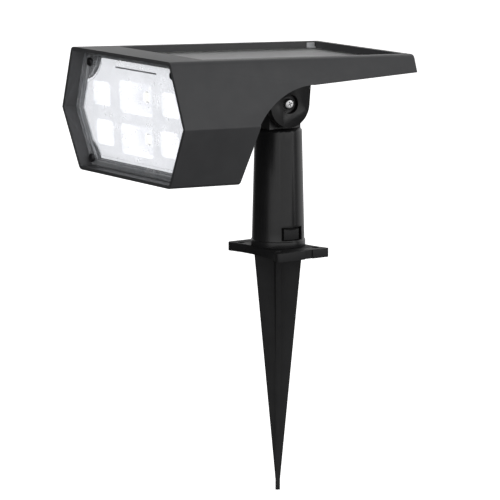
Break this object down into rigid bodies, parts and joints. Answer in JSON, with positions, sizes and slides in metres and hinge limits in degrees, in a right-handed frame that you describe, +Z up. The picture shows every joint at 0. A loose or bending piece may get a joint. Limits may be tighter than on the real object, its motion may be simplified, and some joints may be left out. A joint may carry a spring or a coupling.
{
  "type": "solar flood light",
  "caption": "Garden flood light: wedge-like lamp head with solar panel top, hinged on a round post that snaps onto a ground stake.",
  "frame": {"origin": "the post's axis at the underside of the stake's flange, which is also the centre of the flange's holes", "axes": "+Z up along the post, -Y the way the lamp faces, +X to the lamp's left side, the post's latch side"},
  "size_m": [0.1418, 0.1863, 0.2912],
  "materials": {
    "housing_black": "fine moulded satin",
    "post_black": "smooth satin",
    "stake_black": "coarse moulded matte",
    "clear_cover": "clear polished",
    "reflector_white": "bright white moulded",
    "led_phosphor": "yellow phosphor",
    "board_white": "white solder mask on a metal core",
    "board_green": "green solder mask",
    "part_ivory": "moulded sockets and chip parts",
    "switch_dark": "moulded",
    "screw_steel": "zinc plated",
    "screw_black": "black coated",
    "rubber_black": "soft satin",
    "rubber_grey": "pale silicone",
    "cell_blue": "heat shrink sleeve",
    "panel_glass": "clear laminate",
    "solar_dark": "dark blue silicon",
    "panel_backing": "glass fibre board",
    "clip_grey": "pale grey moulded",
    "lead_red": "insulated wire",
    "lead_white": "insulated wire",
    "lead_black": "insulated wire"
  },
  "bodies": {
    "base": {"ground_stake": "stake_black", "post": "post_black"},
    "latch": {"latch_tab": "stake_black"},
    "head": {"head_housing": "housing_black", "lens_cover": "clear_cover", "lens_gasket": "rubber_grey", "lens_screws": "screw_black", "reflector": "reflector_white", "led_board": "board_white", "led_chips": "led_phosphor", "led_board_screws": "screw_steel", "control_board": "board_green", "board_parts": "part_ivory", "control_board_screws": "screw_steel", "push_switch": "switch_dark", "button_seal": "rubber_black", "battery_cell": "cell_blue", "battery_holder": "switch_dark", "battery_screws": "screw_steel", "panel_board": "panel_backing", "solar_cells": "solar_dark", "panel_glass": "panel_glass", "panel_seal": "rubber_black", "panel_clips": "clip_grey", "panel_lead": "lead_red", "led_lead": "lead_white", "battery_lead": "lead_black", "pivot_bracket": "post_black", "bracket_screws": "screw_steel", "pivot_bolt": "screw_steel", "bolt_washer": "screw_black", "pivot_nut": "screw_steel", "friction_washers": "rubber_black"},
    "button": {"power_button": "rubber_black"}
  },
  "joints": [
    {"name": "head_tilt", "type": "hinge", "parent": "base", "child": "head", "pos_m": [0, 0, 0.0975], "axis": [-1, 0, 0], "range_deg": [-40, 85]},
    {"name": "button_press", "type": "slide", "parent": "head", "child": "button", "axis": [0, -0.9994, 0.0349], "range_m": [0, 0.0008], "stiffness_N_per_m": 400, "springref_m": -0.0015},
    {"name": "latch_press", "type": "hinge", "parent": "base", "child": "latch", "pos_m": [0.01295, 0, 0.0325], "axis": [0, 1, 0], "range_deg": [0, 7], "stiffness_Nm_per_rad": 1}
  ]
}
